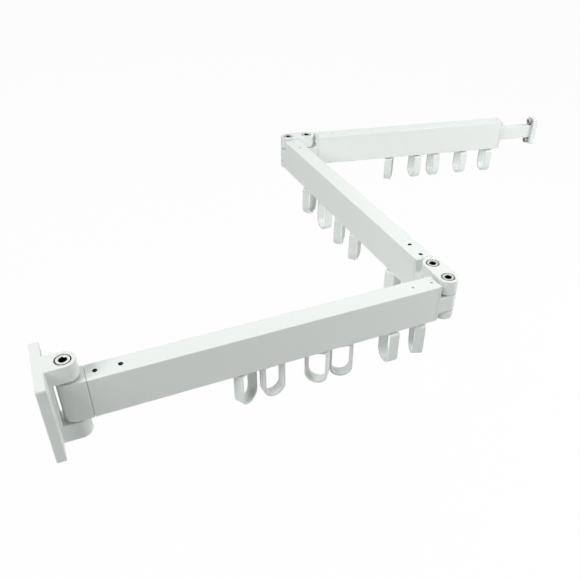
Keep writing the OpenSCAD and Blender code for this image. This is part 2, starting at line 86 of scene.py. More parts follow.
class Nodes:
    """A material's node tree, with short calls to add and join nodes."""

    def __init__(self, name: str) -> None:
        """Makes an empty material of that name with a shader and an output."""
        self.material = bpy.data.materials.new(name)
        self.material.use_nodes = True
        self.tree = self.material.node_tree
        self.tree.nodes.clear()
        self.shader = self.add("ShaderNodeBsdfPrincipled")
        out = self.add("ShaderNodeOutputMaterial")
        self.join(self.shader, "BSDF", out, "Surface")

    def add(self, kind: str, **settings: object) -> bpy.types.Node:
        """Adds a node.

        Args:
            kind: the node's type name.
            settings: its attributes, such as operation.

        Returns:
            The new node.
        """
        node = self.tree.nodes.new(kind)
        for key, value in settings.items():
            setattr(node, key, value)
        return node

    def join(self, source: bpy.types.Node, out: str | int, target: bpy.types.Node, into: str | int) -> None:
        """Links an output socket to an input socket."""
        self.tree.links.new(source.outputs[out], target.inputs[into])

    def where(self) -> bpy.types.Node:
        """Returns a node whose Vector output is the place on the piece, in metres."""
        return self.add("ShaderNodeAttribute", attribute_name="local")

    def noise(self, scale: float, detail: float = 2.0, stretch: Point = (1.0, 1.0, 1.0)) -> bpy.types.Node:
        """Adds noise in the piece's own space.

        Args:
            scale: cells per metre.
            detail: octaves.
            stretch: factors on the coordinates; a small one draws the noise out that way.

        Returns:
            The noise node.
        """
        mapping = fill(self.add("ShaderNodeMapping"), Scale=stretch)
        self.join(self.where(), "Vector", mapping, "Vector")
        noise = fill(self.add("ShaderNodeTexNoise"), Scale=scale, Detail=detail)
        self.join(mapping, "Vector", noise, "Vector")
        return noise

    def ramp(self, source: bpy.types.Node, out: str | int, low: Colour, high: Colour) -> bpy.types.Node:
        """Adds a two-colour ramp over the middle of a noise's values."""
        ramp = self.add("ShaderNodeValToRGB")
        for stop, place, colour in zip(ramp.color_ramp.elements, NOISE_MIDDLE, (low, high)):
            stop.position = place
            stop.color = (*colour, 1.0)
        self.join(source, out, ramp, "Fac")
        return ramp

    def spread(
        self,
        source: bpy.types.Node,
        out: str | int,
        low: float,
        high: float,
        span: tuple[float, float] = NOISE_MIDDLE,
    ) -> bpy.types.Node:
        """Maps a node's values evenly to a range.

        Args:
            source: the node.
            out: its output.
            low: what the span's first value becomes, and all that is past it.
            high: what the span's last value becomes, and all that is past it.
            span: the values to spread out, which may fall.

        Returns:
            The node with the new values.
        """
        node = fill(self.add("ShaderNodeMapRange"), From_Min=span[0], From_Max=span[1], To_Min=low, To_Max=high)
        self.join(source, out, node, "Value")
        return node

    def choose(self, operation: str, first: bpy.types.Node, second: bpy.types.Node) -> bpy.types.Node:
        """Adds the MAXIMUM or MINIMUM of two nodes' first outputs."""
        node = self.add("ShaderNodeMath", operation=operation)
        self.join(first, 0, node, 0)
        self.join(second, 0, node, 1)
        return node

    def bump(self, heights: Iterable[tuple[bpy.types.Node, str | int, float, float]]) -> None:
        """Chains bump nodes into the shader's normal.

        Args:
            heights: for each, the node, its output, the strength and the relief in metres.
        """
        last = None
        for node, out, strength, relief in heights:
            bump = fill(self.add("ShaderNodeBump"), Strength=strength, Distance=relief)
            self.join(node, out, bump, "Height")
            if last:
                self.join(last, "Normal", bump, "Normal")
            last = bump
        self.join(last, "Normal", self.shader, "Normal")


@dataclass(frozen=True)
class PowderCoat:
    """A satin white powder coat with a fine orange peel over the metal's own grain."""

    name: str
    grain: Grain
    pale: Colour = (0.795, 0.833, 0.803)
    shade: Colour = (0.767, 0.807, 0.777)

    def build(self) -> bpy.types.Material:
        """Returns the material."""
        nodes = Nodes(self.name)
        cloud = nodes.noise(45, 3)
        speck = nodes.noise(2600, 1)
        tone = nodes.ramp(cloud, "Fac", self.shade, self.pale)
        dust = nodes.ramp(speck, "Fac", (0.965, 0.965, 0.965), (1.0, 1.0, 1.0))
        mix = nodes.add("ShaderNodeMix", data_type="RGBA", blend_type="MULTIPLY")
        mix.inputs[0].default_value = 1.0
        nodes.join(tone, "Color", mix, 6)
        nodes.join(dust, "Color", mix, 7)
        nodes.join(mix, 2, nodes.shader, "Base Color")
        sheen = nodes.spread(nodes.noise(160, 2), "Fac", 0.36, 0.47)
        nodes.join(sheen, "Result", nodes.shader, "Roughness")
        peel = nodes.noise(1500, 2)
        reliefs = [(peel, "Fac", 0.28, 0.00006)]
        if self.grain is Grain.EXTRUDED:
            lines = nodes.noise(900, 2, (0.004, 1.0, 1.0))
            reliefs.append((lines, "Fac", 0.16, 0.00008))
        elif self.grain is Grain.CAST:
            reliefs.append((nodes.noise(320, 3), "Fac", 0.25, 0.00012))
        else:
            reliefs.append((nodes.noise(420, 2, (1.0, 0.15, 1.0)), "Fac", 0.18, 0.00008))
        nodes.bump(reliefs)
        fill(nodes.shader, Specular_IOR_Level=0.5, Coat_Weight=0.08, Coat_Roughness=0.3)
        return nodes.material


@dataclass(frozen=True)
class TurnedMetal:
    """Metal with the ring marks of a lathe, such as a screw's head.

    The socket's wall, below the top and within the radius socket, takes a near black painted shade,
    and so does all past the radius rim, the head's side down in its counterbore. Both radii are in metres.
    """

    name: str
    bright: Colour
    dull: Colour
    smooth: float
    rough: float
    metallic: float = 1.0
    socket: float = 0.0
    rim: float = 1.0
    # painted shade: the colour of the shade in the socket and in the gap round the head
    painted_shade: Colour = (0.065, 0.056, 0.044)
    gloss: float = 0.5

    def build(self) -> bpy.types.Material:
        """Returns the material."""
        nodes = Nodes(self.name)
        split = nodes.add("ShaderNodeSeparateXYZ")
        nodes.join(nodes.where(), "Vector", split, "Vector")
        flat = nodes.add("ShaderNodeCombineXYZ")
        nodes.join(split, "X", flat, "X")
        nodes.join(split, "Y", flat, "Y")
        radius = nodes.add("ShaderNodeVectorMath", operation="LENGTH")
        nodes.join(flat, "Vector", radius, 0)
        ring_at = nodes.add("ShaderNodeCombineXYZ")
        nodes.join(radius, "Value", ring_at, "X")
        rings = fill(nodes.add("ShaderNodeTexNoise"), Scale=5200, Detail=2)
        nodes.join(ring_at, "Vector", rings, "Vector")
        stain = nodes.noise(700, 3)
        tone = nodes.ramp(stain, "Fac", self.dull, self.bright)
        inside_rim = nodes.spread(radius, "Value", 0, 1, (self.rim, self.rim - 0.0002))
        on_top = nodes.spread(split, "Z", 0, 1, (-0.00012, -0.00003))
        past_socket = nodes.spread(radius, "Value", 0, 1, (self.socket, self.socket + 0.0002))
        # 1 where the metal's own tone shows, 0 where painted shade darkens the socket's wall and the head's side past
        # the rim
        unshaded = nodes.choose("MINIMUM", inside_rim, nodes.choose("MAXIMUM", on_top, past_socket))
        mix = nodes.add("ShaderNodeMix", data_type="RGBA")
        mix.inputs[6].default_value = (*self.painted_shade, 1.0)
        nodes.join(unshaded, "Value", mix, 0)
        nodes.join(tone, "Color", mix, 7)
        nodes.join(mix, 2, nodes.shader, "Base Color")
        sheen = nodes.spread(rings, "Fac", self.smooth, self.rough)
        nodes.join(sheen, "Result", nodes.shader, "Roughness")
        nodes.bump([(rings, "Fac", 0.22, 0.00002), (stain, "Fac", 0.08, 0.00003)])
        fill(nodes.shader, Metallic=self.metallic, Specular_IOR_Level=self.gloss)
        return nodes.material


@dataclass(frozen=True)
class MouldedPolymer:
    """An injection moulded plastic with a fine spark-eroded grain."""

    name: str
    pale: Colour
    deep: Colour

    def build(self) -> bpy.types.Material:
        """Returns the material."""
        nodes = Nodes(self.name)
        tone = nodes.ramp(nodes.noise(120, 2), "Fac", self.deep, self.pale)
        nodes.join(tone, "Color", nodes.shader, "Base Color")
        sheen = nodes.spread(nodes.noise(500, 2), "Fac", 0.42, 0.58)
        nodes.join(sheen, "Result", nodes.shader, "Roughness")
        nodes.bump([(nodes.noise(2200, 2), "Fac", 0.3, 0.00005)])
        fill(nodes.shader, Specular_IOR_Level=0.45, Subsurface_Weight=0.05, Subsurface_Radius=(0.001, 0.001, 0.001))
        return nodes.material


@dataclass(frozen=True)
class Finish:
    """A material and the record's slot for it."""

    slot: str
    material: bpy.types.Material


class Shop:
    """The finishes that the rack's pieces share, each made once."""

    def __init__(self) -> None:
        """Makes every finish."""
        self.extruded = Finish("white_coat", PowderCoat("coat_on_extrusion", Grain.EXTRUDED).build())
        self.cast = Finish("white_coat", PowderCoat("coat_on_casting", Grain.CAST).build())
        self.strap = Finish("white_coat", PowderCoat("coat_on_strap", Grain.STRAP).build())
        steel = TurnedMetal("stainless_screw", (0.46, 0.455, 0.43), (0.33, 0.325, 0.31), 0.3, 0.45)
        zinc = TurnedMetal("zinc_plated_screw", (0.40, 0.41, 0.39), (0.30, 0.305, 0.29), 0.5, 0.65)
        # The pin screws' sockets and the sides of their heads get a near black painted shade.
        pin = TurnedMetal(
            "stainless_pin_screw", (0.70, 0.71, 0.69), (0.55, 0.56, 0.54), 0.18, 0.36, socket=0.0044, rim=0.0056
        )
        self.steel, self.zinc, self.pin = (Finish("stainless", metal.build()) for metal in (steel, zinc, pin))
        black = TurnedMetal(
            "black_oxide_screw", (0.012, 0.012, 0.013), (0.006, 0.006, 0.007), 0.5, 0.7, 0.1, gloss=0.12
        )
        # Near black painted shade for the walls of the wide set screw holes in the tubes.
        thread = TurnedMetal("tapped_hole_painted_shade", (0.012, 0.012, 0.011), (0.006, 0.006, 0.006), 0.5, 0.7, 0.1, gloss=0.12)
        self.black, self.thread = (Finish("black_oxide", metal.build()) for metal in (black, thread))
        bush = MouldedPolymer("bush_polymer", (0.60, 0.61, 0.60), (0.55, 0.56, 0.55))
        self.bush = Finish("grey_polymer", bush.build())
        glider = MouldedPolymer("glider_polymer", (0.78, 0.79, 0.78), (0.74, 0.75, 0.74))
        self.glider = Finish("white_polymer", glider.build())


# ---------------------------------------------------------------- the bench


class Bench:
    """Modelling operations on shapes measured in millimetres."""

    @staticmethod
    def take(shape: Shape) -> Shape:
        """Selects one shape alone, makes it active and returns it."""
        bpy.ops.object.select_all(action="DESELECT")
        shape.select_set(True)
        bpy.context.view_layer.objects.active = shape
        return shape

    @staticmethod
    def settle(shape: Shape) -> Shape:
        """Applies a shape's place, turn and size to its mesh."""
        Bench.take(shape)
        bpy.ops.object.transform_apply(location=True, rotation=True, scale=True)
        return shape

    @staticmethod
    def block(low: Point, high: Point) -> Shape:
        """Returns a block between two corners."""
        bpy.ops.object.select_all(action="DESELECT")
        middle = [(a + b) / 2 for a, b in zip(low, high)]
        bpy.ops.mesh.primitive_cube_add(size=1, location=middle)
        shape = bpy.context.object
        shape.scale = [b - a for a, b in zip(low, high)]
        return Bench.settle(shape)

    @staticmethod
    def weld() -> None:
        """Merges the points that lie together in the mesh in edit mode, and leaves all selected."""
        bpy.ops.mesh.select_all(action="SELECT")
        bpy.ops.mesh.remove_doubles(threshold=WELD_GAP)

    @staticmethod
    def turned(profile: Profile, sides: int = 64, hollow: bool = False) -> Shape:
        """Returns a shape turned about z, drawn out of one circle along its profile.

        Args:
            profile: (radius, height) points. None is on the axis.
            sides: sides round the axis.
            hollow: whether the profile closes on itself, round a bore.
        """
        bpy.ops.object.select_all(action="DESELECT")
        fill = "NOTHING" if hollow else "NGON"
        bpy.ops.mesh.primitive_circle_add(vertices=sides, radius=profile[0][0], fill_type=fill)
        shape = bpy.context.object
        shape.location.z = profile[0][1]
        Bench.settle(shape)
        bpy.ops.object.mode_set(mode="EDIT")
        bpy.ops.mesh.select_all(action="SELECT")
        path = [*profile, profile[0]] if hollow else list(profile)
        for (r0, z0), (r1, z1) in zip(path, path[1:]):
            bpy.ops.mesh.extrude_region_move(TRANSFORM_OT_translate={"value": (0, 0, z1 - z0)})
            bpy.ops.transform.resize(value=(r1 / r0, r1 / r0, 1), center_override=(0, 0, z1))
        Bench.weld()
        bpy.ops.mesh.normals_make_consistent(inside=False)
        bpy.ops.object.mode_set(mode="OBJECT")
        return shape

    @staticmethod
    def rod(radius: float, low: float, high: float, sides: int) -> Shape:
        """Returns a plain round bar about z, such as the cutter of a bore."""
        return Bench.turned([(radius, low), (radius, high)], sides)

    @staticmethod
    def prism(width: float, low: float, high: float) -> Shape:
        """Returns a hexagonal prism about z with that width across its flats."""
        bpy.ops.object.select_all(action="DESELECT")
        bpy.ops.mesh.primitive_cylinder_add(
            vertices=6, radius=width / math.sqrt(3), depth=high - low, location=(0, 0, (low + high) / 2)
        )
        return Bench.settle(bpy.context.object)

    @staticmethod
    def pick(shape: Shape, chosen: Callable[[Vector, Vector], bool]) -> None:
        """Goes into edit mode with some edges selected.

        Args:
            shape: the shape.
            chosen: says yes or no to an edge's direction and middle.
        """
        Bench.take(shape)
        bpy.ops.object.mode_set(mode="EDIT")
        bpy.ops.mesh.select_mode(type="EDGE")
        bpy.ops.mesh.select_all(action="DESELECT")
        mesh = bmesh.from_edit_mesh(shape.data)
        for edge in mesh.edges:
            start, end = (vert.co for vert in edge.verts)
            if chosen((end - start).normalized(), (start + end) / 2):
                edge.select_set(True)
        bmesh.update_edit_mesh(shape.data)

    @staticmethod
    def round_off(shape: Shape, radius: float, steps: int, chosen: Callable[[Vector, Vector], bool]) -> Shape:
        """Rounds the chosen edges of a shape with that radius."""
        Bench.pick(shape, chosen)
        bpy.ops.mesh.bevel(offset=radius, offset_type="OFFSET", segments=steps, profile=0.5, affect="EDGES")
        Bench.weld()
        bpy.ops.object.mode_set(mode="OBJECT")
        return shape

    @staticmethod
    def bar(start: float, end: float, half: float, low: float, high: float, edge: float) -> Shape:
        """Returns a bar along x with its long edges rounded."""
        shape = Bench.block((start, -half, low), (end, half, high))
        return Bench.round_off(shape, edge, 4, lambda way, _: abs(way.x) > 0.99)

    @staticmethod
    def nosed(length: float, low: float, high: float, nose: float) -> Shape:
        """Returns a bar with a round nose about z at the origin, back to x = length."""
        side = math.copysign(nose, length)
        shape = Bench.block((min(-side, length), -nose, low), (max(-side, length), nose, high))
        return Bench.round_off(shape, nose, 24, lambda way, mid: abs(way.z) > 0.99 and abs(mid.x + side) < 0.01)

    @staticmethod
    def modify(shape: Shape, kind: str, **settings: object) -> Shape:
        """Adds a modifier of that kind with those settings and applies it."""
        modifier = shape.modifiers.new(kind.lower(), kind)
        for key, value in settings.items():
            setattr(modifier, key, value)
        Bench.take(shape)
        bpy.ops.object.modifier_apply(modifier=modifier.name)
        return shape

    @staticmethod
    def combine(shape: Shape, tools: Iterable[Shape], operation: str) -> Shape:
        """Cuts or fuses a shape with tools, which are used up.

        Args:
            shape: the shape that stays.
            tools: the other shapes.
            operation: DIFFERENCE or UNION.

        Returns:
            The shape.
        """
        for tool in tools:
            Bench.modify(shape, "BOOLEAN", operation=operation, solver="EXACT", object=tool)
            bpy.data.objects.remove(tool)
        return shape

    @staticmethod
    def cut(shape: Shape, *tools: Shape) -> Shape:
        """Cuts tools out of a shape."""
        return Bench.combine(shape, tools, "DIFFERENCE")

    @staticmethod
    def fuse(shape: Shape, *others: Shape) -> Shape:
        """Fuses others into a shape."""
        return Bench.combine(shape, others, "UNION")

    @staticmethod
    def soften(shape: Shape, width: float, steps: int = 3) -> Shape:
        """Rounds every sharp edge of a shape a little."""
        Bench.take(shape)
        bpy.ops.object.mode_set(mode="EDIT")
        Bench.weld()
        bpy.ops.mesh.dissolve_limited(angle_limit=math.radians(0.5))
        bpy.ops.object.mode_set(mode="OBJECT")
        return Bench.modify(
            shape,
            "BEVEL",
            width=width,
            segments=steps,
            limit_method="ANGLE",
            angle_limit=SOFTEN_ANGLE,
            use_clamp_overlap=False,
        )

    @staticmethod
    def even(shape: Shape) -> None:
        """Lets large faces set the normals at their edges, so that flat faces stay flat to the eye."""
        Bench.modify(shape, "WEIGHTED_NORMAL", mode="FACE_AREA", weight=100, keep_sharp=True)

    @staticmethod
    def move(shape: Shape, x: float = 0, y: float = 0, z: float = 0) -> Shape:
        """Moves a shape."""
        Bench.mark(shape)
        shape.location = (x, y, z)
        return Bench.settle(shape)

    @staticmethod
    def turn(shape: Shape, degrees: float, axis: str) -> Shape:
        """Turns a shape about an axis through the origin."""
        Bench.mark(shape)
        shape.matrix_world = Matrix.Rotation(math.radians(degrees), 4, axis)
        return Bench.settle(shape)

    @staticmethod
    def copy(shape: Shape) -> Shape:
        """Returns a copy with a mesh of its own."""
        Bench.take(shape)
        bpy.ops.object.duplicate(linked=False)
        return bpy.context.object

    @staticmethod
    def joined(shapes: Sequence[Shape]) -> Shape:
        """Puts shapes together in one object, each as it is."""
        for shape in shapes:
            Bench.mark(shape)
        Bench.take(shapes[0])
        for shape in shapes[1:]:
            shape.select_set(True)
        bpy.ops.object.join()
        return bpy.context.object

    @staticmethod
    def shade_faces(shape: Shape, chosen: Callable[[Vector, Vector], bool]) -> None:
        """Gives faces the piece's second finish, the painted shade of a hole's wall.

        Args:
            shape: the shape.
            chosen: says yes or no to a face's normal and middle.
        """
        shape.data.materials.clear()
        for face in shape.data.polygons:
            face.material_index = int(chosen(face.normal, face.center))

    @staticmethod
    def mark(shape: Shape) -> None:
        """Stores each point's present place in metres, for the finishes, unless that is done."""
        mesh = shape.data
        if "local" in mesh.attributes:
            return
        places = mesh.attributes.new("local", "FLOAT_VECTOR", "POINT")
        values = [part * MM for vert in mesh.vertices for part in vert.co]
        places.data.foreach_set("vector", values)


# ---------------------------------------------------------------- places


@dataclass(frozen=True)
class Place:
    """A hinge pin and the direction of the piece that hangs on it."""

    pin: Vector
    way: Vector

    def matrix(self) -> Matrix:
        """Returns the transform from a shape's millimetres to the frame."""
        angle = math.atan2(self.way.y, self.way.x)
        return Matrix.Translation(self.pin) @ Matrix.Rotation(angle, 4, "Z") @ Matrix.Scale(MM, 4)


class Rack:
    """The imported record's joints and bodies, and the pieces that were set down on them."""

    def __init__(self) -> None:
        """Reads the places of the arms, links and rings."""
        behaviour = frame["record"]["behaviour"]
        joints = {joint["name"]: joint for joint in behaviour["joints"]}
        names = ("wall_hinge", "link_a_hinge", "arm_2_hinge", "link_b_hinge", "arm_3_hinge")
        pins = [Vector(joints[name]["pos_m"]) for name in names]
        self.bracket = Place(pins[0], Vector((1, 0, 0)))
        self.arm_1 = Place(pins[0], Vector(joints["slide_11"]["axis"]))
        self.link_a = Place(pins[1], pins[2] - pins[1])
        self.arm_2 = Place(pins[2], Vector(joints["slide_21"]["axis"]))
        self.link_b = Place(pins[3], pins[4] - pins[3])
        self.arm_3 = Place(pins[4], Vector(joints["slide_31"]["axis"]))
        self.rings = sorted(name for name in behaviour["bodies"] if name.startswith("ring_"))
        self.swivels = {f"ring_{name[7:]}": Vector(joints[name]["pos_m"]) for name in joints if name[:7] == "swivel_"}
        self.count = 0

    def ring_place(self, ring: str) -> Place:
        """Returns a ring's place: its swivel, and the way its wide side lies in the CAD."""
        points = [vert.co for vert in frame["nodes"][ring].data.vertices]
        centre = self.swivels[ring]
        xx = sum((p.x - centre.x) ** 2 for p in points)
        yy = sum((p.y - centre.y) ** 2 for p in points)
        xy = sum((p.x - centre.x) * (p.y - centre.y) for p in points)
        angle = math.atan2(2 * xy, xx - yy) / 2
        return Place(Vector((centre.x, centre.y, 0)), Vector((math.cos(angle), math.sin(angle), 0)))

    def set_down(
        self,
        shape: Shape,
        name: str,
        place: Place,
        body: str,
        node: str,
        finish: Finish,
        shade_finish: Finish | None = None,
    ) -> Shape:
        """Puts a finished shape in its place in the frame.

        Args:
            shape: the shape, in millimetres.
            name: the piece's name.
            place: where it goes.
            body: the CAD body that it moves with.
            node: the CAD node that it stands for.
            finish: its finish.
            shade_finish: the finish of the faces that were picked out, a near black painted shade.

        Returns:
            The piece.
        """
        Bench.mark(shape)
        Bench.take(shape)
        shape.name = name
        shape.data.name = name
        shape.matrix_world = place.matrix()
        Bench.settle(shape)
        bpy.ops.object.shade_smooth_by_angle(angle=SMOOTH_ANGLE)
        Bench.even(shape)
        for coat in (finish, shade_finish) if shade_finish else (finish,):
            shape.data.materials.append(coat.material)
        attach(shape, body)
        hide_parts(node)
        self.count += 1
        LOG.info("%s: %d faces on %s", name, len(shape.data.polygons), body)
        return shape


# ---------------------------------------------------------------- fasteners


@dataclass
class CapScrew:
    """A socket cap screw whose head ends at z = 0, with its shank down."""

    shank: float = 8
    head: float = 13
    head_height: float = 8
    key: float = 6
    key_depth: float = 4.5
    length: float = 35.6
    knurls: int = 72

    def build(self) -> Shape:
        """Returns the screw, with a knurled head and a drilled hexagon socket."""
        r, s = self.head / 2, self.shank / 2
        low = -self.head_height - self.length
        edge = self.head * 0.05
        screw = Bench.turned(
            [
                (s - 0.8, low), (s - 0.05, low + 0.75), (s, low + 0.9), (s, -self.head_height - 0.3),
                (s + 0.25, -self.head_height), (r - 0.3, -self.head_height), (r, -self.head_height + 0.3),
                (r, -edge * 1.8), (r - edge * 0.3, -edge * 0.8), (r - edge, -edge * 0.15), (r - edge * 1.7, 0),
            ],
            self.knurls * 2,
        )
        self._knurl(screw, r)
        mouth = self.key / math.sqrt(3)
        k, deep = self.key / 2, -self.key_depth
        hexagon = Bench.prism(self.key, deep, 1)
        point = Bench.turned([(0.2, deep - self.key * 0.28), (k, deep + 0.05), (k, -0.5)], 32)
        funnel = Bench.turned([(k, -0.55), (mouth + 0.35, 0.2), (mouth + 0.35, 1)], 48)
        return Bench.cut(screw, point, hexagon, funnel)

    def _knurl(self, screw: Shape, radius: float) -> None:
        """Presses straight knurls into the side of the head."""
        Bench.take(screw)
        bpy.ops.object.mode_set(mode="EDIT")
        bpy.ops.mesh.select_mode(type="FACE")
        bpy.ops.mesh.select_all(action="DESELECT")
        mesh = bmesh.from_edit_mesh(screw.data)
        for face in mesh.faces:
            middle = face.calc_center_median()
            turn = math.atan2(middle.y, middle.x) / math.tau * self.knurls * 2
            on_side = abs(face.normal.z) < 0.1 and Vector((middle.x, middle.y)).length > radius - 0.1
            tall = face.calc_area() > 0.5 * radius * math.tau / (self.knurls * 2) * self.head_height
            if on_side and tall and math.floor(turn) % 2 == 0:
                face.select_set(True)
        bmesh.update_edit_mesh(screw.data)
        bpy.ops.mesh.inset(thickness=0.04, depth=-radius * 0.025, use_individual=True)
        bpy.ops.object.mode_set(mode="OBJECT")


@dataclass
class PinSeat:
    """The bore and counterbore of a hinge pin about z, and the cap screw that is the pin."""

    top: float
    hole: float = 8.08
    counterbore: float = 13.4
    sink: float = 8.4
    head_below: float = 0.4

    def cutters(self, x: float = 0) -> list[Shape]:
        """Returns the cutters of both holes at x, through a piece from -top to top."""
        bore = Bench.rod(self.hole / 2, -self.top - 1, self.top + 1, 48)
        seat = Bench.rod(self.counterbore / 2, self.top - self.sink, self.top + 1, 64)
        return [Bench.move(bore, x=x), Bench.move(seat, x=x)]

    def screw(self, x: float = 0) -> Shape:
        """Returns the screw, seated at x."""
        return Bench.move(CapScrew(length=2 * self.top - self.sink).build(), x=x, z=self.top - self.head_below)


@dataclass
class SunkScrew:
    """A countersunk screw with a hexagon socket, whose head ends at z = 0, with its shank down."""

    shank: float = 4
    key: float = 2.4
    length: float = 20

    def build(self) -> Shape:
        """Returns the screw."""
        s = self.shank / 2
        screw = Bench.turned(
            [
                (s - 0.4, -self.length), (s, -self.length + 0.4), (s, -s), (self.shank - 0.15, -0.15),
                (self.shank - 0.1, -0.02), (self.shank - 0.3, 0),
            ],
            48,
        )
        return Bench.cut(screw, Bench.prism(self.key, -s, 1))


@dataclass
class GrubScrew:
    """A headless set screw with a hexagon socket, whose top is at z = 0."""

    size: float
    length: float = 8

    def build(self) -> Shape:
        """Returns the screw, with a chamfered mouth and a cone point."""
        r = self.size / 2
        edge = self.size * 0.1
        screw = Bench.turned([(r * 0.5, -self.length), (r, -self.length + r * 0.5), (r, -edge), (r - edge, 0)], 40)
        return Bench.cut(screw, Bench.prism(self.size / 2, -self.length / 3, 1))


# ---------------------------------------------------------------- wall bracket


@dataclass
class WallBracket:
    """The wall plate with its two hinge ears and the screw that pins arm 1."""

    thick: float = 8
    width: float = 60
    corner: float = 2
    top: float = 39
    upper: float = 23
    lower: float = -21
    web: float = 2.7
    reach: float = 23
    nose: float = 10
    hole: float = 5.5
    sunk: float = 11
    hole_y: float = 21
    hole_z: float = 30

    def build(self, rack: Rack, shop: Shop) -> None:
        """Makes and dresses the bracket and its screw."""
        plate = Bench.bar(-self.reach, self.thick - self.reach, self.width / 2, -self.top, self.top, self.corner)
        back = self.thick / 2 - self.reach
        spans = ((self.upper, self.top), (-self.top, self.lower))
        ears = [Bench.nosed(back, low, high, self.nose) for low, high in spans]
        front = self.thick + self.web - self.reach
        web = Bench.block((back, -self.nose, self.lower - 1), (front, self.nose, self.upper + 1))
        body = Bench.fuse(plate, *ears, web)
        pin = PinSeat(self.top)
        Bench.cut(body, *pin.cutters())
        for y in (-self.hole_y, self.hole_y):
            for z in (-self.hole_z, self.hole_z):
                Bench.cut(body, self._drill(y, z))
        Bench.soften(body, 0.7)
        rack.set_down(body, "bracket_casting", rack.bracket, "bracket", "wall_bracket", shop.cast)
        rack.set_down(pin.screw(), "bracket_pin_screw", rack.bracket, "bracket", "wall_hinge_screw", shop.pin)

    def _drill(self, y: float, z: float) -> Shape:
        """Returns the cutter of one countersunk wall screw hole."""
        r, wide = self.hole / 2, self.sunk / 2
        drill = Bench.turned([(r, -1), (r, self.thick - wide + r), (wide, self.thick), (wide + 1, self.thick + 1)], 48)
        Bench.turn(drill, 90, "Y")
        return Bench.move(drill, x=-self.reach, y=y, z=z)


# ---------------------------------------------------------------- hinges


@dataclass
class Bush:
    """A pair of flanged sleeves in a hinge block, flanges outwards."""

    low: float
    high: float
    low_flange: float = 2
    high_flange: float = 2
    bore: float = 8.1
    sleeve: float = 11
    rim: float = 16

    def build(self) -> Shape:
        """Returns both sleeves, in their places about the pin."""
        r, s, b, edge = self.rim / 2, self.sleeve / 2, self.bore / 2, 0.25
        middle = (self.low + self.high) / 2
        sleeves = []
        for side in (-1, 1):
            outer = self.low - self.low_flange if side < 0 else self.high + self.high_flange
            inner = self.low if side < 0 else self.high
            profile = [
                (b, outer), (r - edge, outer), (r, outer - side * edge), (r, inner + side * edge),
                (r - edge, inner), (s, inner), (s, middle + side * 0.5), (b, middle + side * 0.5),
            ]
            sleeves.append(Bench.turned(profile, 56, hollow=True))
        return Bench.joined(sleeves)


@dataclass
class HingeEnd:
    """What closes a tube's end and holds it to a hinge: a nose on the pin and a plug inside."""

    face: float
    nose_low: float
    nose_high: float
    first_screw: float
    screw: float
    flange: float = 2
    nose: float = 10
    sleeve: float = 11.08
    plug: float = 34
    thread_low: float = 9
    top: float = 20
    pitch: float = 20.5

    def build(self) -> Shape:
        """Returns the block, with its tapped holes."""
        full = self.nose_high >= self.top
        joint = self.face if full else self.face + self.flange / 2
        block = Bench.nosed(joint, self.nose_low, self.nose_high, self.nose)
        inside = self.face - 1 if full else joint
        plug = Bench.bar(inside, inside + self.plug, PLUG_HALF, PLUG_LOW, PLUG_HIGH, 0.5)
        if full:
            rest = Bench.bar(self.face - 1, self.face + 0.6, self.nose - 1, 1 - self.top, self.top - 1, 0.5)
        else:
            rest = Bench.bar(self.face, self.face + self.flange, self.nose, -self.top, self.top, 0.8)
        Bench.fuse(block, plug, rest)
        Bench.cut(block, Bench.rod(self.sleeve / 2, self.nose_low - 1, self.nose_high + 1, 56))
        for k in (0, 1):
            thread = Bench.rod(self.screw / 2 + 0.04, self.thread_low, self.top, 32)
            Bench.cut(block, Bench.move(thread, x=self.face + self.first_screw + k * self.pitch))
        return Bench.soften(block, 0.5)


@dataclass
class Link:
    """A double-pin knuckle: two ears joined by a thin web and a post, with two cap screws."""

    name: str
    pitch: float = 26.3
    nose: float = 10
    top: float = 22
    upper: float = 7
    lower: float = -14
    web: float = 2.16
    post: float = 5.5

    def build(self, rack: Rack, shop: Shop, place: Place) -> None:
        """Makes and dresses the knuckle and its screws."""
        upper = self._ear(self.upper, self.top)
        lower = self._ear(-self.top, self.lower)
        middle, half = self.pitch / 2, self.web / 2
        low, high = self.lower - 1, self.upper + 1
        web = Bench.block((middle - half, -self.nose, low), (middle + half, self.nose, high))
        post = Bench.move(Bench.rod(self.post / 2, low, high, 40), x=middle)
        knuckle = Bench.fuse(upper, lower, web, post)
        pin = PinSeat(self.top)
        for x in (0, self.pitch):
            Bench.cut(knuckle, *pin.cutters(x))
        Bench.soften(knuckle, 0.6)
        rack.set_down(knuckle, f"{self.name}_knuckle", place, self.name, self.name, shop.cast)
        pins = Bench.joined([pin.screw(x) for x in (0, self.pitch)])
        rack.set_down(pins, f"{self.name}_pin_screws", place, self.name, f"{self.name}_screws", shop.pin)

    def _ear(self, low: float, high: float) -> Shape:
        """Returns one ear, round at both ends."""
        ear = Bench.block((-self.nose, -self.nose, low), (self.pitch + self.nose, self.nose, high))
        return Bench.round_off(ear, self.nose - 0.001, 24, lambda way, _: abs(way.z) > 0.99)


# ---------------------------------------------------------------- arms


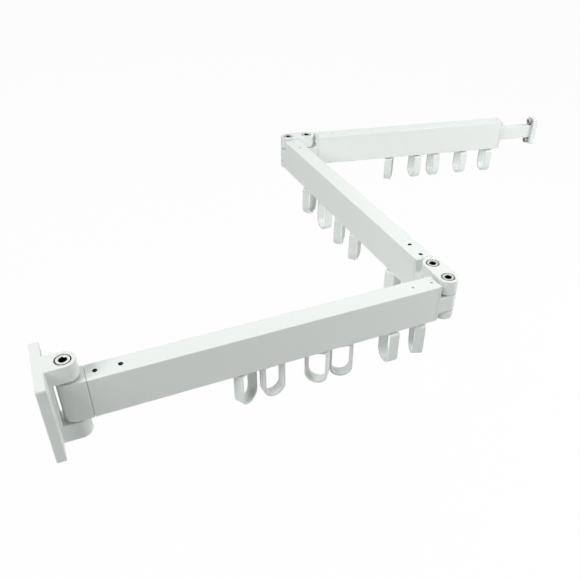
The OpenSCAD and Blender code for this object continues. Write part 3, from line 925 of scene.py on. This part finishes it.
@dataclass
class Tube:
    """An extruded tube with a rod chamber above a slotted ring track."""

    start: float
    end: float
    screws: Sequence[tuple[float, float]]
    half: float = 10
    top: float = 20
    wall: float = 2
    edge: float = 0.8
    floor_low: float = -12
    floor_high: float = -10.5
    slot: float = 6
    # holes wider than this get a near black painted shade on their walls
    dark_over: float = 3

    def build(self) -> Shape:
        """Returns the tube, with its set screw holes."""
        tube = Bench.bar(self.start, self.end, self.half, -self.top, self.top, self.edge)
        near, far, inner = self.start - 1, self.end + 1, self.half - self.wall
        Bench.cut(
            tube,
            Bench.bar(near, far, inner, self.floor_high, self.top - self.wall, 0.5),
            Bench.bar(near, far, inner, -self.top + self.wall, self.floor_low, 0.5),
            self._slot(near, far),
        )
        for x, size in self.screws:
            r, top = size / 2 + 0.1, self.top
            profile = [(r, top - self.wall - 1), (r, top - 0.15), (r + 0.15, top), (r + 0.2, top + 0.5)]
            Bench.cut(tube, Bench.move(Bench.turned(profile, 40), x=x))
        # The walls of these holes get the second finish, a near black painted shade for the dark inside of the hole.
        deep = [x for x, size in self.screws if size > self.dark_over]
        Bench.shade_faces(tube, lambda way, mid: any(self._in_hole(way, mid, x) for x in deep))
        return tube

    def _in_hole(self, way: Vector, mid: Vector, x: float) -> bool:
        """Says whether a face is the wall of the hole at x."""
        return abs(way.z) < 0.3 and math.hypot(mid.x - x, mid.y) < 2.6 and self.top - self.wall < mid.z < self.top

    def _slot(self, near: float, far: float) -> Shape:
        """Returns the cutter of the track's slot."""
        return Bench.block((near, -self.slot / 2, -self.top - 1), (far, self.slot / 2, -self.top + self.wall + 1))


@dataclass
class Arm:
    """A tube with its end blocks, bushes and set screws, on one body."""

    number: int
    length: float
    face: float
    far_end: bool = True
    first: float = 8
    last: float = 5.5
    near_screw: float = 4
    far_screw: float = 2.5
    pitch: float = 20.5
    tongue_low: float = -12
    tongue_high: float = 5
    top: float = 20
    wall: float = 2
    far_inset: float = 12.7
    flange: float = 2
    cap: float = 3
    seam: float = 0.5

    def build(self, rack: Rack, shop: Shop, place: Place) -> None:
        """Makes and dresses everything that is fixed to the arm."""
        name = f"arm_{self.number}"
        full = self.number == 1
        far_face = self.face + self.length
        screws = [(self.face + self.first + k * self.pitch, self.near_screw) for k in (0, 1)]
        if self.far_end:
            screws += [(far_face - self.last - k * self.pitch, self.far_screw) for k in (0, 1)]
        start = self.face + (self.seam if full else self.flange + self.seam / 2)
        end = far_face - (self.flange if self.far_end else self.cap) - self.seam / 2
        tube, node = Tube(start, end, screws).build(), f"{name}_tube"
        # The tube's second finish paints near black shade on the walls of its wide set screw holes.
        rack.set_down(tube, f"{name}_extrusion", place, name, node, shop.extruded, shop.thread)
        near = ("hinge_block", -self.top, self.top) if full else ("near_tongue", self.tongue_low, self.tongue_high)
        if self.number == 3:
            near = ("tongue", self.tongue_low, self.tongue_high)
        block = HingeEnd(self.face, near[1], near[2], self.first, self.near_screw).build()
        rack.set_down(block, f"{name}_{near[0]}_casting", place, name, f"{name}_{near[0]}", shop.cast)
        bushes = [Bush(near[1], near[2], *((1, 3) if full else (2, 2))).build()]
        if self.far_end:
            far_x = far_face + self.far_inset
            tongue = HingeEnd(self.far_inset, self.tongue_low, self.tongue_high, self.last, self.far_screw).build()
            Bench.move(Bench.turn(tongue, 180, "Z"), x=far_x)
            node = "arm_1_tongue" if full else "arm_2_far_tongue"
            rack.set_down(tongue, f"{name}_far_tongue_casting", place, name, node, shop.cast)
            bushes.append(Bench.move(Bush(self.tongue_low, self.tongue_high).build(), x=far_x))
        if full:
            sleeves, node = bushes.pop(0), "wall_hinge_bushes"
            rack.set_down(sleeves, "wall_hinge_sleeves", place, name, node, shop.bush)
        sleeves = Bench.joined(bushes)
        rack.set_down(sleeves, f"{name}_sleeves", place, name, f"{name}_bushes", shop.bush)
        level = self.top - self.wall - 0.15
        grubs = Bench.joined([Bench.move(GrubScrew(size).build(), x=x, z=level) for x, size in screws])
        rack.set_down(grubs, f"{name}_grub_screws", place, name, f"{name}_set_screws", shop.black)


# ---------------------------------------------------------------- end of arm 3


@dataclass
class EndRod:
    """The end cap of arm 3, the bar that slides through it and the plate on the bar's end."""

    face: float = 12.7
    length: float = 280
    flange: float = 3
    guide: float = 20
    foot_high: float = -12.15
    half: float = 10
    top: float = 20
    rod_half: float = 4.5
    rod_high: float = 9.25
    rod_length: float = 240
    out: float = 50
    fit: float = 0.15
    shoe: float = 16
    plate_half: float = 8
    plate_high: float = 19
    plate_thick: float = 7
    pocket: float = 1.8
    screw: float = 5
    screw_z: float = 14.325
    head: float = 8.5
    head_height: float = 5
    sunk: float = 4

    def build(self, rack: Rack, shop: Shop, place: Place) -> None:
        """Makes and dresses the cap, the rod and the end plate with its screws."""
        rack.set_down(self._cap(), "arm_3_moulded_cap", place, "arm_3", "arm_3_end_cap", shop.glider)
        end = self.face + self.length + self.out
        rod = Bench.bar(end - self.rod_length, end + self.pocket, self.rod_half, -self.rod_high, self.rod_high, 0.8)
        rack.set_down(rod, "rod_flat_bar", place, "rod", "slide_rod", shop.extruded)
        plate = Bench.bar(end, end + self.plate_thick, self.plate_half, -self.plate_high, self.plate_high, 1.5)
        half, high = self.rod_half + 2.2, self.rod_high + 0.7
        Bench.cut(plate, Bench.bar(end - 1, end + self.pocket, half, -high, high, 1.2))
        for z in (-self.screw_z, self.screw_z):
            drill = Bench.rod(self.screw / 2 + 0.04, -self.plate_thick - 1, 1, 40)
            Bench.cut(plate, Bench.move(Bench.turn(drill, -90, "Y"), x=end, z=z))
        Bench.cut(plate, Bench.move(Bench.turn(self._sink(), 90, "Y"), x=end + self.plate_thick))
        Bench.soften(plate, 0.6)
        rack.set_down(plate, "rod_end_plate", place, "rod", "end_plate", shop.cast)
        screws = []
        for z in (-self.screw_z, self.screw_z):
            screw = CapScrew(self.screw, self.head, self.head_height, 4, 3, self.plate_thick, knurls=48).build()
            Bench.turn(Bench.move(screw, z=self.head_height), -90, "Y")
            screws.append(Bench.move(screw, x=end, z=z))
        screws = Bench.joined(screws)
        rack.set_down(screws, "rod_plate_screws", place, "rod", "end_plate_screws", shop.zinc)
        inner = end - self.rod_length
        ends = ((90, end + self.plate_thick), (-90, inner - self.plate_thick))
        sunk = [Bench.move(Bench.turn(SunkScrew(self.sunk).build(), turn, "Y"), x=x) for turn, x in ends]
        rack.set_down(Bench.joined(sunk), "rod_sunk_screws", place, "rod", "rod_screws", shop.steel)
        rack.set_down(self._shoe(inner), "rod_guide_shoe", place, "rod", "rod_shoe", shop.bush)

    def _sink(self) -> Shape:
        """Returns the cutter of a countersunk screw's hole, down from z = 0."""
        r = self.sunk / 2
        profile = [(r + 0.04, -self.plate_thick - 1), (r + 0.04, -r), (self.sunk + 0.04, 0), (self.sunk + 0.5, 0.5)]
        return Bench.turned(profile, 48)

    def _shoe(self, inner: float) -> Shape:
        """Returns the shoe that holds the rod's inner end, which is at x = inner."""
        start = inner - self.plate_thick
        shoe = Bench.bar(start, start + self.shoe, PLUG_HALF, PLUG_LOW, PLUG_HIGH, 0.5)
        half, high = self.rod_half + 0.04, self.rod_high + 0.04
        sunk = self._sink()
        Bench.cut(
            shoe,
            Bench.block((inner, -half, -high), (inner + self.shoe, half, high)),
            Bench.move(Bench.turn(sunk, -90, "Y"), x=start),
        )
        return Bench.soften(shoe, 0.3)

    def _cap(self) -> Shape:
        """Returns the end cap with its spigots and the rod's opening."""
        end = self.face + self.length
        start = end - self.flange
        cap = Bench.bar(start, end, self.half, -self.top, self.top, 0.8)
        guide = Bench.bar(start - self.guide, start + 1, PLUG_HALF, PLUG_LOW, PLUG_HIGH, 0.5)
        foot = Bench.bar(start - self.flange, start + 1, PLUG_HALF, -PLUG_HIGH, self.foot_high, 0.5)
        Bench.fuse(cap, guide, foot)
        half, high = self.rod_half + self.fit, self.rod_high + self.fit
        Bench.cut(cap, Bench.bar(start - self.guide - 1, end + 1, half, -high, high, 0.4))
        return Bench.soften(cap, 0.35)


# ---------------------------------------------------------------- rings


@dataclass
class HangingRing:
    """A strap ring and the glider that carries it in the track."""

    width: float = 22
    height: float = 39
    strap: float = 10
    thick: float = 2.2
    corner: float = 2.6
    top: float = -22.2
    stem: float = 5.2
    disc: float = 14
    disc_low: float = -17.9
    disc_high: float = -13.9
    collar: float = 9
    collar_high: float = -20.1
    head_thick: float = 1.8

    def ring(self) -> Shape:
        """Returns the strap ring about z, with softened edges."""
        ring = self._loop(0, self.strap / 2)
        Bench.cut(ring, self._loop(self.thick, self.strap))
        r = self.stem / 2 + 0.05
        Bench.cut(ring, Bench.rod(r, self.top - self.thick - 1, self.top + 1, 40))
        return Bench.soften(ring, 0.45)

    def _loop(self, inset: float, half: float) -> Shape:
        """Returns a slab with a round foot and rounded shoulders, inset from the ring's outline."""
        w = self.width / 2 - inset
        low, high = self.top - self.height + inset, self.top - inset
        slab = Bench.block((-w, -half, low), (w, half, high))
        middle = (low + high) / 2
        Bench.round_off(slab, w - 0.001, 32, lambda way, mid: abs(way.y) > 0.99 and mid.z < middle)
        corner = max(self.corner - inset, 0.4)
        return Bench.round_off(slab, corner, 6, lambda way, mid: abs(way.y) > 0.99 and mid.z > high - 0.01)

    def glider(self) -> Shape:
        """Returns the disc, stem, collar and head, turned in one."""
        s, c, d = self.stem / 2, self.collar / 2, self.disc / 2
        collar_low = self.top + 0.1
        head_high = self.top - self.thick - 0.1
        head_low = head_high - self.head_thick
        return Bench.turned(
            [
                (c - 1.6, head_low), (c - 0.7, head_low + 0.15), (c - 0.2, head_low + 0.6), (c, head_low + 1.1),
                (c, head_high - 0.15), (c - 0.15, head_high), (s, head_high), (s, collar_low),
                (c - 0.2, collar_low), (c, collar_low + 0.2), (c, self.collar_high - 0.2),
                (c - 0.2, self.collar_high), (s, self.collar_high), (s, self.disc_low), (d - 0.3, self.disc_low),
                (d, self.disc_low + 0.3), (d, self.disc_high - 0.5), (d - 0.5, self.disc_high),
            ],
            48,
        )

    def build(self, rack: Rack, shop: Shop, arms: str) -> None:
        """Makes one ring and one glider and sets copies of them down along the arms with those numbers."""
        ring, glider = self.ring(), self.glider()
        for name in rack.rings:
            if name[5] not in arms:
                continue
            tag = name[5:]
            place = rack.ring_place(name)
            rack.set_down(Bench.copy(ring), f"strap_ring_{tag}", place, name, name, shop.strap)
            runner = f"runner_{tag}"
            rack.set_down(Bench.copy(glider), f"glider_{tag}", place, runner, runner, shop.glider)
        for pattern in (ring, glider):
            bpy.data.objects.remove(pattern)


# ---------------------------------------------------------------- studio


LAMPS = (
    ("key_lamp", (-1.1, -0.5, 1.2), (0.35, 0.1, 0.0), 1.0, 23.4),
    ("back_lamp", (0.4, 1.0, 2.2), (0.4, 0.2, 0.0), 1.4, 19.4),
    ("right_lamp", (1.7, 0.1, 0.35), (0.3, 0.1, -0.05), 1.0, 8.3),
    ("left_lamp", (-0.9, 0.2, 1.7), (0.35, 0.2, 0.0), 1.4, 3.8),
    ("low_lamp", (1.5, -0.9, -0.1), (0.4, 0.1, -0.05), 0.8, 3.0),
    ("far_lamp", (1.1, -0.35, 0.35), (0.75, 0.4, 0.0), 0.6, 3.6),
    ("inner_lamp", (0.45, 0.1, 0.38), (0.5, 0.36, -0.05), 0.5, 0.33),
)


@dataclass
class Studio:
    """The camera, the lamps and the pale surroundings."""

    eye: Point = (0.0390, -0.4094, 0.3687)
    yaw: float = 22.85
    pitch: float = 35.52
    lens: float = 40.14
    floor_z: float = -0.5
    soft: float = 0.07
    glow: float = 0.97

    def build(self) -> None:
        """Sets up the whole studio."""
        self._camera()
        self._world()
        self._floor()
        for lamp in LAMPS:
            self._lamp(*lamp)
        bpy.context.scene.view_settings.view_transform = "Standard"

    def _camera(self) -> None:
        """Puts the camera in place and makes it the scene's."""
        camera = bpy.data.objects.new("camera", bpy.data.cameras.new("camera"))
        bpy.context.scene.collection.objects.link(camera)
        camera.data.sensor_width = 36
        camera.data.lens = self.lens
        camera.data.clip_start = 0.01
        camera.location = self.eye
        camera.rotation_euler = (math.radians(90 - self.pitch), 0, math.radians(-self.yaw))
        bpy.context.scene.camera = camera

    @staticmethod
    def _seen(nodes: bpy.types.NodeTree) -> bpy.types.NodeSocket:
        """Returns a socket that is 1 for rays from the camera, off gloss or through glass."""
        path = nodes.nodes.new("ShaderNodeLightPath")
        total = path.outputs["Is Camera Ray"]
        for kind in ("Is Glossy Ray", "Is Transmission Ray"):
            more = nodes.nodes.new("ShaderNodeMath")
            more.operation = "MAXIMUM"
            nodes.links.new(total, more.inputs[0])
            nodes.links.new(path.outputs[kind], more.inputs[1])
            total = more.outputs[0]
        return total

    @staticmethod
    def _blend(
        tree: bpy.types.NodeTree,
        share: bpy.types.NodeSocket,
        first: bpy.types.Node,
        second: bpy.types.Node,
        output: str,
    ) -> None:
        """Adds an output that shows the first shader where the share is 0 and the second where it is 1."""
        mix, out = tree.nodes.new("ShaderNodeMixShader"), tree.nodes.new(output)
        tree.links.new(share, mix.inputs["Fac"])
        tree.links.new(first.outputs[0], mix.inputs[1])
        tree.links.new(second.outputs[0], mix.inputs[2])
        tree.links.new(mix.outputs[0], out.inputs["Surface"])

    def _world(self) -> None:
        """A white world to the eye, which lights the rack softly."""
        world = bpy.data.worlds.new("pale_world")
        bpy.context.scene.world = world
        world.use_nodes = True
        tree = world.node_tree
        tree.nodes.clear()
        soft = fill(tree.nodes.new("ShaderNodeBackground"), Color=(0.97, 1.0, 0.985, 1), Strength=self.soft)
        white = fill(tree.nodes.new("ShaderNodeBackground"), Color=(1, 1, 1, 1), Strength=1.0)
        self._blend(tree, self._seen(tree), soft, white, "ShaderNodeOutputWorld")

    def _floor(self) -> None:
        """A plain white floor far below the rack, which keeps a faint shadow."""
        bpy.ops.object.select_all(action="DESELECT")
        bpy.ops.mesh.primitive_plane_add(size=14, location=(0.4, 0.2, self.floor_z))
        floor = bpy.context.object
        floor.name = "studio_floor"
        material = bpy.data.materials.new("studio_white")
        material.use_nodes = True
        tree = material.node_tree
        tree.nodes.clear()
        matt = fill(tree.nodes.new("ShaderNodeBsdfDiffuse"), Color=(0.85, 0.85, 0.85, 1))
        glow = fill(tree.nodes.new("ShaderNodeEmission"), Color=(1, 1, 1, 1), Strength=1.0)
        share = tree.nodes.new("ShaderNodeMath")
        share.operation = "MULTIPLY"
        share.inputs[1].default_value = self.glow
        tree.links.new(self._seen(tree), share.inputs[0])
        self._blend(tree, share.outputs[0], matt, glow, "ShaderNodeOutputMaterial")
        floor.data.materials.append(material)

    @staticmethod
    def _lamp(name: str, place: Point, target: Point, size: float, power: float) -> None:
        """Adds a soft square lamp.

        Args:
            name: its name.
            place: where it hangs.
            target: what it faces.
            size: its side, in metres.
            power: in watts.
        """
        lamp = bpy.data.lights.new(name, "AREA")
        lamp.shape = "SQUARE"
        lamp.size = size
        lamp.energy = power
        holder = bpy.data.objects.new(name, lamp)
        bpy.context.scene.collection.objects.link(holder)
        holder.location = place
        holder.rotation_euler = (Vector(target) - Vector(place)).to_track_quat("-Z", "Y").to_euler()
        holder.visible_camera = False


def main() -> None:
    """Builds the studio and every sub-assembly, and reports the pieces."""
    logging.basicConfig(level=logging.INFO, format="%(message)s")
    Studio().build()
    rack, shop = Rack(), Shop()
    WallBracket().build(rack, shop)
    Arm(1, 326, 13).build(rack, shop, rack.arm_1)
    Link("link_a").build(rack, shop, rack.link_a)
    Arm(2, 326, 12.7).build(rack, shop, rack.arm_2)
    Link("link_b").build(rack, shop, rack.link_b)
    Arm(3, 280, 12.7, far_end=False, first=5.5, near_screw=2.5).build(rack, shop, rack.arm_3)
    EndRod().build(rack, shop, rack.arm_3)
    HangingRing().build(rack, shop, "12")
    HangingRing(height=35).build(rack, shop, "3")
    LOG.info("%d pieces", rack.count)


if __name__ == "__main__":
    main()
